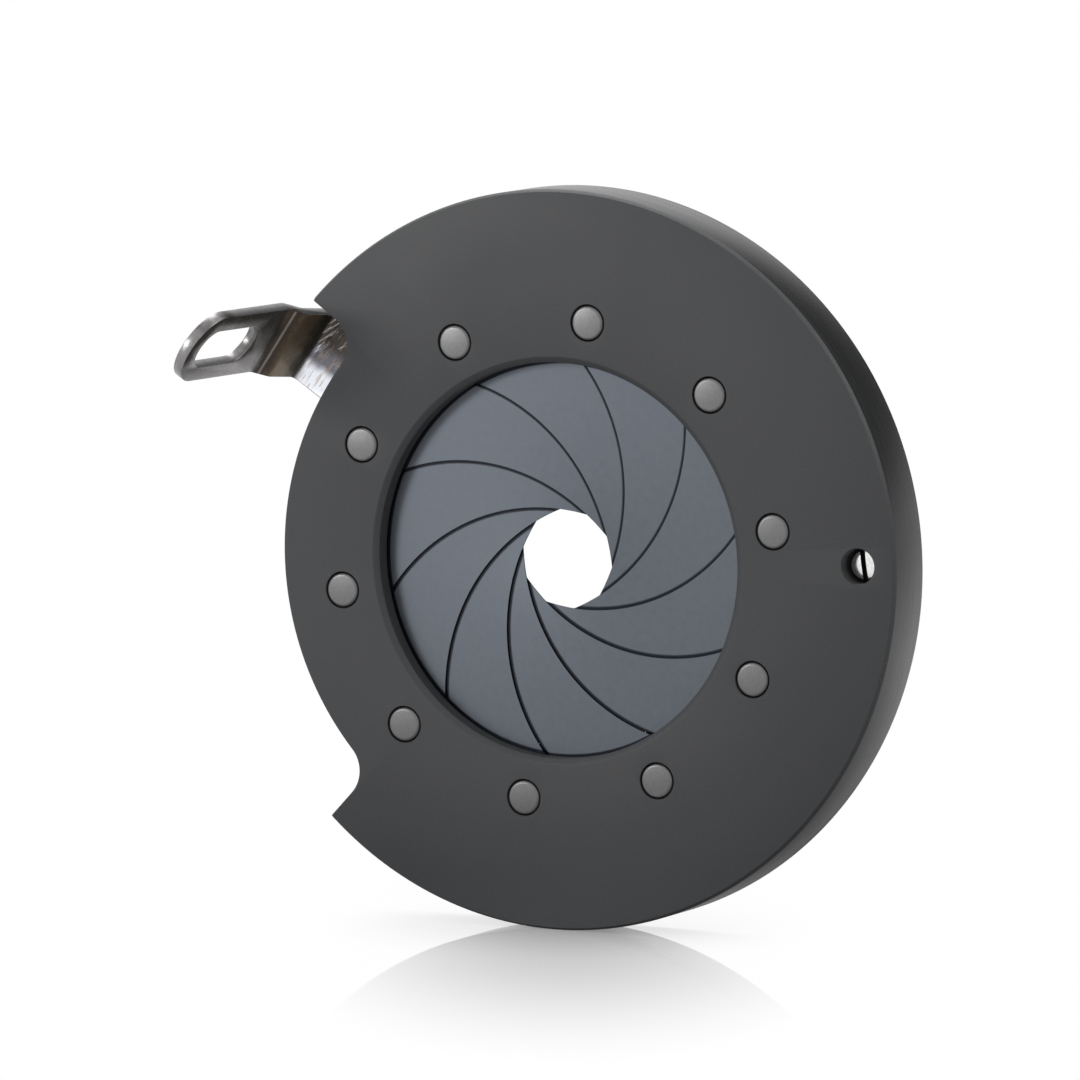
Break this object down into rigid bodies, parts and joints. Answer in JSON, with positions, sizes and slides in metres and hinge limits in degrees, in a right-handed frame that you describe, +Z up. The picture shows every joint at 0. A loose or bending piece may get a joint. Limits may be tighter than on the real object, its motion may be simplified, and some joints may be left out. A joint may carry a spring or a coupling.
{
  "type": "iris diaphragm",
  "caption": "Round diaphragm whose thin curved blades close together around a variable aperture when the bent side lever is swung.",
  "frame": {"origin": "on the optical axis, in the plane of the front face", "axes": "+Y along the optical axis to the rear, front face towards -Y, +Z up as the diaphragm stands on its rim, +X to the right seen from the front"},
  "size_m": [0.0482, 0.0171, 0.05],
  "materials": {
    "anodised_aluminium": "matt black anodised",
    "blued_steel": "matt blue-grey",
    "pin_steel": "matt grey",
    "browned_steel": "browned, polished at the edges",
    "bright_steel": "bright"
  },
  "bodies": {
    "housing": {"housing": "anodised_aluminium", "grub_screw": "bright_steel", "snap_ring": "browned_steel"},
    "drive_ring": {"drive_ring": "anodised_aluminium", "lever": "browned_steel", "lever_rivet_1": "bright_steel", "lever_rivet_2": "bright_steel"},
    "blade_01": {"blade_01": "blued_steel", "pivot_pin_01": "pin_steel", "drive_pin_01": "pin_steel"},
    "blade_02": {"blade_02": "blued_steel", "pivot_pin_02": "pin_steel", "drive_pin_02": "pin_steel"},
    "blade_03": {"blade_03": "blued_steel", "pivot_pin_03": "pin_steel", "drive_pin_03": "pin_steel"},
    "blade_04": {"blade_04": "blued_steel", "pivot_pin_04": "pin_steel", "drive_pin_04": "pin_steel"},
    "blade_05": {"blade_05": "blued_steel", "pivot_pin_05": "pin_steel", "drive_pin_05": "pin_steel"},
    "blade_06": {"blade_06": "blued_steel", "pivot_pin_06": "pin_steel", "drive_pin_06": "pin_steel"},
    "blade_07": {"blade_07": "blued_steel", "pivot_pin_07": "pin_steel", "drive_pin_07": "pin_steel"},
    "blade_08": {"blade_08": "blued_steel", "pivot_pin_08": "pin_steel", "drive_pin_08": "pin_steel"},
    "blade_09": {"blade_09": "blued_steel", "pivot_pin_09": "pin_steel", "drive_pin_09": "pin_steel"},
    "blade_10": {"blade_10": "blued_steel", "pivot_pin_10": "pin_steel", "drive_pin_10": "pin_steel"}
  },
  "joints": [
    {"name": "ring_turn", "type": "hinge", "parent": "housing", "child": "drive_ring", "pos_m": [0, 0, 0], "axis": [0, 1, 0], "range_deg": [-73.2, 1.6]},
    {"name": "blade_01_turn", "type": "hinge", "parent": "housing", "child": "blade_01", "pos_m": [0.00237, 0, 0.01613], "axis": [0, 1, 0], "range_deg": [-37.6, 0.9]},
    {"name": "blade_02_turn", "type": "hinge", "parent": "housing", "child": "blade_02", "pos_m": [0.01139, 0, 0.01166], "axis": [0, 1, 0], "range_deg": [-37.6, 0.9]},
    {"name": "blade_03_turn", "type": "hinge", "parent": "housing", "child": "blade_03", "pos_m": [0.01607, 0, 0.00273], "axis": [0, 1, 0], "range_deg": [-37.6, 0.9]},
    {"name": "blade_04_turn", "type": "hinge", "parent": "housing", "child": "blade_04", "pos_m": [0.01461, 0, -0.00723], "axis": [0, 1, 0], "range_deg": [-37.6, 0.9]},
    {"name": "blade_05_turn", "type": "hinge", "parent": "housing", "child": "blade_05", "pos_m": [0.00756, 0, -0.01444], "axis": [0, 1, 0], "range_deg": [-37.6, 0.9]},
    {"name": "blade_06_turn", "type": "hinge", "parent": "housing", "child": "blade_06", "pos_m": [-0.00237, 0, -0.01613], "axis": [0, 1, 0], "range_deg": [-37.6, 0.9]},
    {"name": "blade_07_turn", "type": "hinge", "parent": "housing", "child": "blade_07", "pos_m": [-0.01139, 0, -0.01166], "axis": [0, 1, 0], "range_deg": [-37.6, 0.9]},
    {"name": "blade_08_turn", "type": "hinge", "parent": "housing", "child": "blade_08", "pos_m": [-0.01607, 0, -0.00273], "axis": [0, 1, 0], "range_deg": [-37.6, 0.9]},
    {"name": "blade_09_turn", "type": "hinge", "parent": "housing", "child": "blade_09", "pos_m": [-0.01461, 0, 0.00723], "axis": [0, 1, 0], "range_deg": [-37.6, 0.9]},
    {"name": "blade_10_turn", "type": "hinge", "parent": "housing", "child": "blade_10", "pos_m": [-0.00756, 0, 0.01444], "axis": [0, 1, 0], "range_deg": [-37.6, 0.9]}
  ],
  "couplings": [
    {"joint": "blade_01_turn", "follows": "ring_turn", "ratio": 0.51282},
    {"joint": "blade_02_turn", "follows": "ring_turn", "ratio": 0.51282},
    {"joint": "blade_03_turn", "follows": "ring_turn", "ratio": 0.51282},
    {"joint": "blade_04_turn", "follows": "ring_turn", "ratio": 0.51282},
    {"joint": "blade_05_turn", "follows": "ring_turn", "ratio": 0.51282},
    {"joint": "blade_06_turn", "follows": "ring_turn", "ratio": 0.51282},
    {"joint": "blade_07_turn", "follows": "ring_turn", "ratio": 0.51282},
    {"joint": "blade_08_turn", "follows": "ring_turn", "ratio": 0.51282},
    {"joint": "blade_09_turn", "follows": "ring_turn", "ratio": 0.51282},
    {"joint": "blade_10_turn", "follows": "ring_turn", "ratio": 0.51282}
  ]
}
